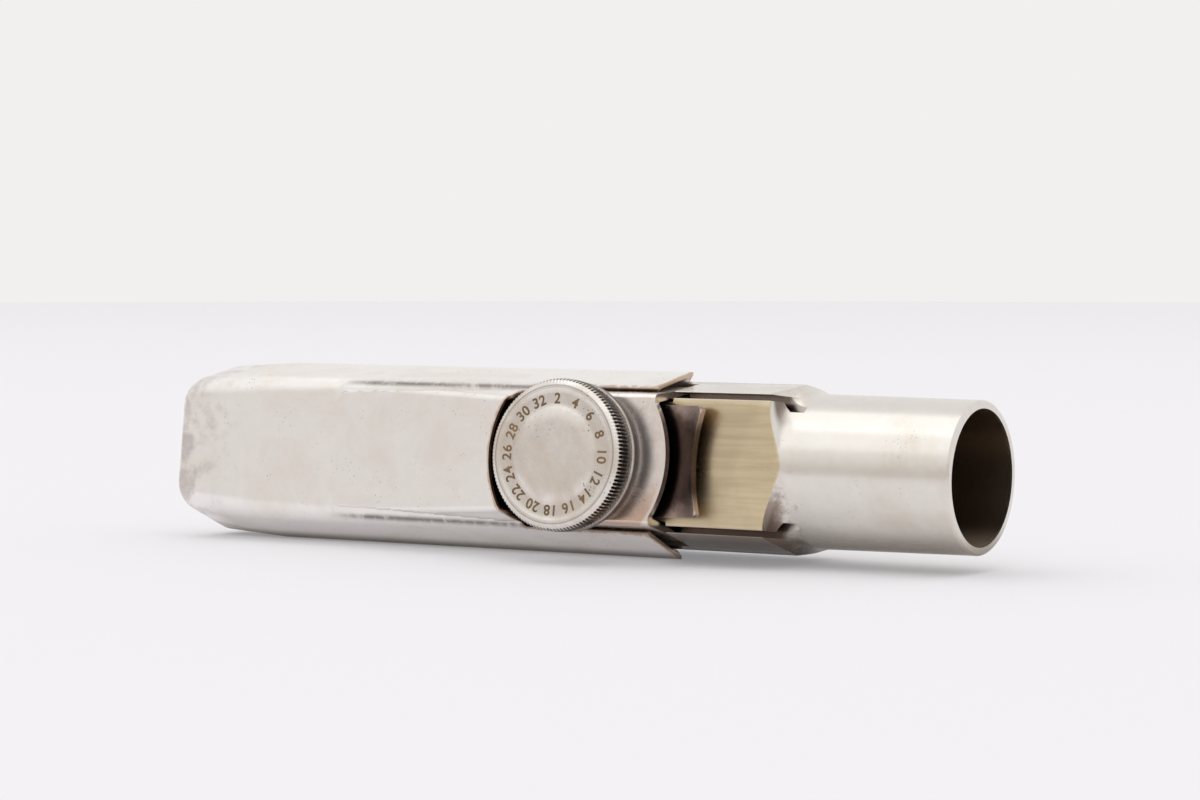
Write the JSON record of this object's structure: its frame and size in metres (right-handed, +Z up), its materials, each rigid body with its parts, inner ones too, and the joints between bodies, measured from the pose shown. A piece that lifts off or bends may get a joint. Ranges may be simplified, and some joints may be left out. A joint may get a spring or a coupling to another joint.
{
  "type": "saxophone ligature",
  "caption": "One-screw rail ligature with a swivelling pressure plate, on its plated brass tenor mouthpiece under a slotted slide-on cap.",
  "frame": {"origin": "centre of the open end of the shank, on the bore axis", "axes": "+X along the bore out of the shank, +Z up with the cap's flank lying on the ground; the reed table faces -Y, 7 degrees up"},
  "size_m": [0.1103, 0.0298, 0.0226],
  "materials": {
    "silver_plate": "satin silver plate, bare brass on the lapped table",
    "bite_rubber": "satin",
    "worn_plate": "worn silver plate with dark spots",
    "dark_plate": "heavily tarnished silver plate",
    "screw_brass": "turned",
    "knob_plate": "worn silver plate, knurled edge",
    "cap_plate": "satin silver plate with warm tarnish"
  },
  "bodies": {
    "mouthpiece": {"mouthpiece_body": "silver_plate", "bite_plate": "bite_rubber"},
    "ligature": {"ligature_bridge": "worn_plate", "bridge_bush": "worn_plate"},
    "plate": {"pressure_plate": "dark_plate", "swivel_seat": "dark_plate"},
    "screw": {"thumbscrew_knob": "knob_plate", "thumbscrew_stem": "screw_brass", "retaining_washer": "dark_plate"},
    "cap": {"cap_shell": "cap_plate", "cap_end_plate": "cap_plate"}
  },
  "joints": [
    {"name": "cap_slide", "type": "slide", "parent": "mouthpiece", "child": "cap", "axis": [-1, 0, 0], "range_m": [0, 0.08]},
    {"name": "ligature_slide", "type": "slide", "parent": "mouthpiece", "child": "ligature", "axis": [-1, 0, 0], "range_m": [-0.0004, 0.0015]},
    {"name": "plate_travel", "type": "slide", "parent": "ligature", "child": "plate", "axis": [0, -0.9925, 0.1219], "range_m": [-0.00021, 0.00061]},
    {"name": "screw_turn", "type": "hinge", "parent": "plate", "child": "screw", "pos_m": [-0.0479, -0.01395, 0.00171], "axis": [0, -0.9925, 0.1219], "range_deg": [-90, 270]}
  ],
  "couplings": [
    {"joint": "plate_travel", "follows": "screw_turn", "m_per_rad": 0.00012732}
  ]
}
